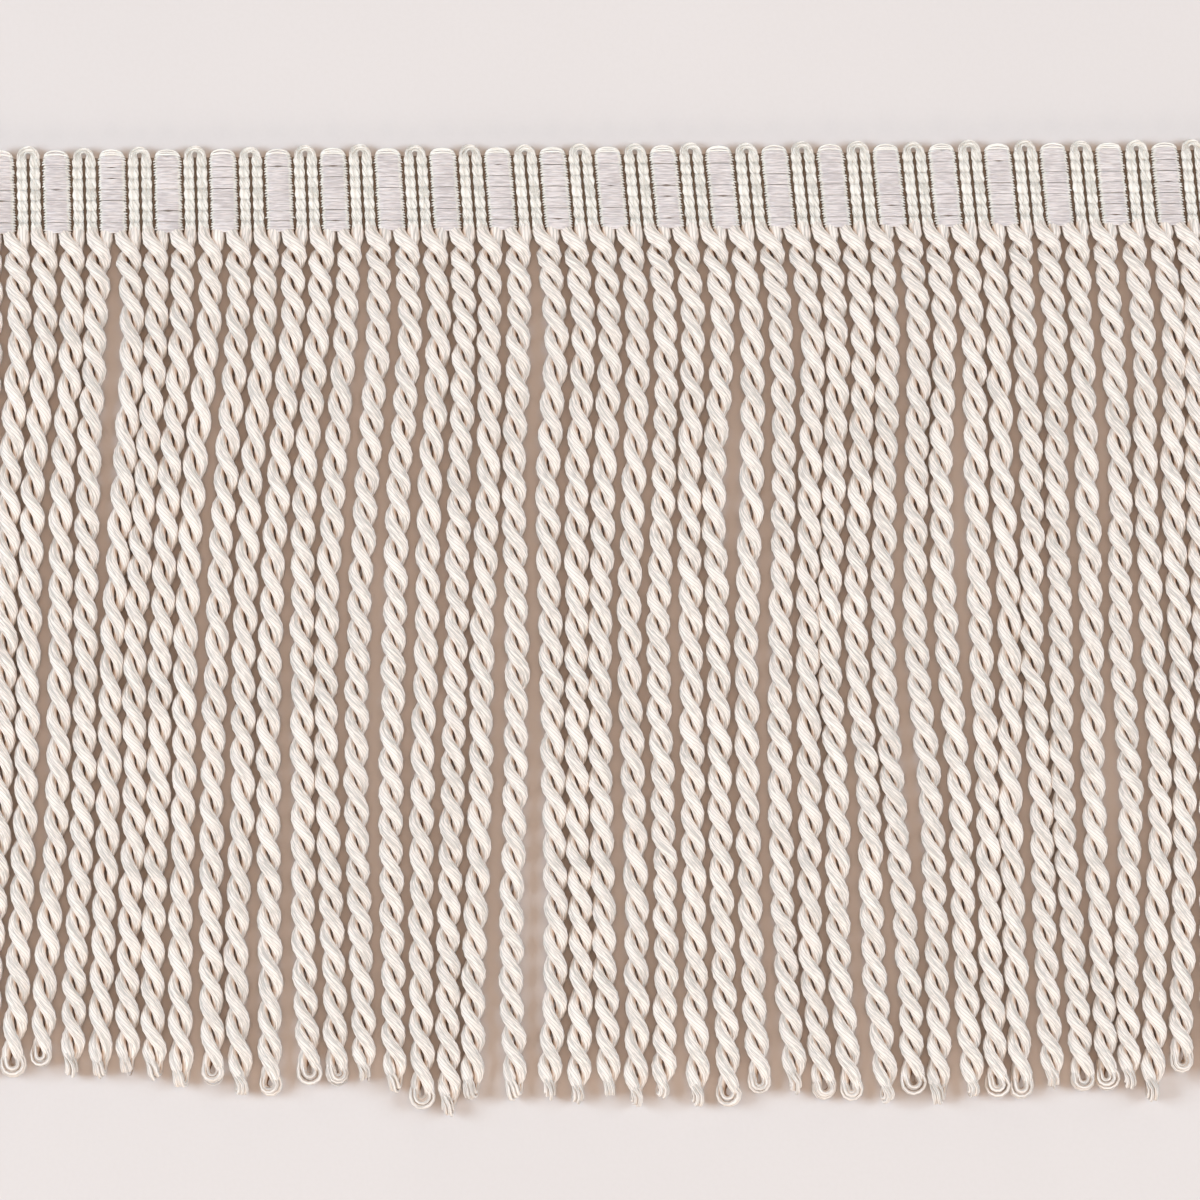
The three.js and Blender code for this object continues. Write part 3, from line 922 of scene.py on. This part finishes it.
def gimp_cords():
    yarns = Yarns()
    draw = np.random.default_rng(57)
    for k in range(RIB_COUNT + 1):
        centre = rib_centre(k) - REPEAT / 2
        if 0 < k < RIB_COUNT:
            tone = draw.uniform(0.0, 0.5)
            outer_top = LOOP_TOP - OUTER_YARN - 0.42 + draw.uniform(-0.12, 0.12)
            points, out, count = hairpin(
                yarns, centre, OUTER_YARN, outer_top, GIMP_RADIUS, 0.22, 1, tone, draw)
            hairpin(yarns, centre, INNER_YARN, outer_top + 0.40, GIMP_RADIUS, 0.20, -1, tone, draw)
            # The thinner middle yarn, low between the other two, takes a darker tone as painted shade
            hairpin(yarns, centre, CORE_YARN, outer_top + 0.16, 0.30, 0.20, 1, 1.2, draw)
            along = lengths_along(points)
            start, end = along[count - 3], along[-count + 2]
            parted(
                yarns, points, out, start, end, step=0.42, count=3,
                offset=0.23, radius=0.20, spill=0.12, draw=draw, tone=0.0)
        else:
            side = 1 if k == 0 else -1
            middle = centre + side * CORE_YARN
            half, top = OUTER_YARN - CORE_YARN, RIB_HEIGHT - 0.6
            hairpin(yarns, middle, half, top, GIMP_RADIUS, 0.40, 1, 0.3, draw)
    tree = yarn_tree("gimp yarn", gimp_yarn)
    sizes = {"Sides": 9, "Lobes": 3, "Lobe Depth": 0.08, "Fibre Turn": 1.3}
    return yarns.weave("gimp_cords", tree, sizes)


def binding_threads():
    """The fine threads that bind each gimp cord at its pinches."""
    yarns = Yarns()
    draw = np.random.default_rng(63)
    x = np.array([0.28, 0.32, 0.65, 1.06, 1.47, 1.78, 1.84])
    z = np.array([0.9, 1.35, 1.67, 1.57, 1.67, 1.35, 0.9])
    for k in range(1, RIB_COUNT):
        centre = rib_centre(k) - REPEAT / 2
        for band, side in itertools.product(range(1, BAND_COUNT), (-1, 1)):
            y = band * BAND_PITCH + draw.normal(0, 0.03)
            points = np.column_stack([leaned(centre + side * x, y), np.full(len(x), y), z])
            yarns.add(points, 0.07, (0, 1, 0), draw.uniform(0.6, 1.2))
    tree = yarn_tree("binding thread", gimp_yarn)
    return yarns.weave("binding_threads", tree, {"Sides": 4})


gimps = gimp_cords()
bindings = binding_threads()


# Riding, and what each piece stands for

heading_pieces = [heading_ground, ribs_under, satin_ribs, gimps, bindings]
for piece in heading_pieces:
    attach(piece, "root")
    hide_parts("heading")
for piece in cords:
    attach(piece, "root")
    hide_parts("bullion_skirt")


# Floor and light

FLOOR_HALF = 2.0

def floor_sheet():
    """The card that the fringe lies on."""
    mesh = bpy.data.meshes.new("floor")
    corners = [(FLOOR_HALF * x, FLOOR_HALF * y, 0) for x, y in ((-1, -1), (1, -1), (1, 1), (-1, 1))]
    mesh.from_pydata(corners, [], [(0, 1, 2, 3)])
    mesh.materials.append(floor_finish())
    new_object("floor", mesh)


def soft_light(name, place, size, power, colour):
    """A square softbox that faces the fringe, its size in metres and its power in watts."""
    light = bpy.data.lights.new(name, "AREA")
    light.shape = "SQUARE"
    light.size = size
    light.energy = power
    light.color = colour
    lamp = new_object(name, light)
    lamp.location = place
    lamp.rotation_euler = Vector(place).to_track_quat("Z", "Y").to_euler()


# Cool side lights shape the yarns and leave the gaps dark. Low ones in front and behind clear the shadow
# under the tips and above the heading, and a little warm light from overhead reaches into the gaps.
DAYLIGHT = (0.69, 0.86, 1.0)
FRONT_LIGHT = (1.0, 0.90, 0.80)
BACK_LIGHT = (1.0, 0.92, 0.84)
WARM = (1.0, 0.62, 0.37)

floor_sheet()
soft_light("left_softbox", (-1.30, 0.10, 0.95), 0.9, 22.5, DAYLIGHT)
soft_light("right_softbox", (1.30, 0.10, 0.95), 0.9, 18.8, DAYLIGHT)
soft_light("front_softbox", (0.0, -1.50, 0.32), 1.2, 19.5, FRONT_LIGHT)
soft_light("back_softbox", (0.0, 1.50, 0.28), 1.2, 7.0, BACK_LIGHT)
soft_light("overhead_softbox", (0.0, 0.15, 1.6), 1.0, 6.5, WARM)
world = bpy.data.worlds.new("studio")
world.use_nodes = True
backdrop = world.node_tree.nodes["Background"]
backdrop.inputs["Color"].default_value = (1.0, 0.885, 0.735, 1)
backdrop.inputs["Strength"].default_value = 0.265
bpy.context.scene.world = world
bpy.context.scene.view_settings.view_transform = "Standard"
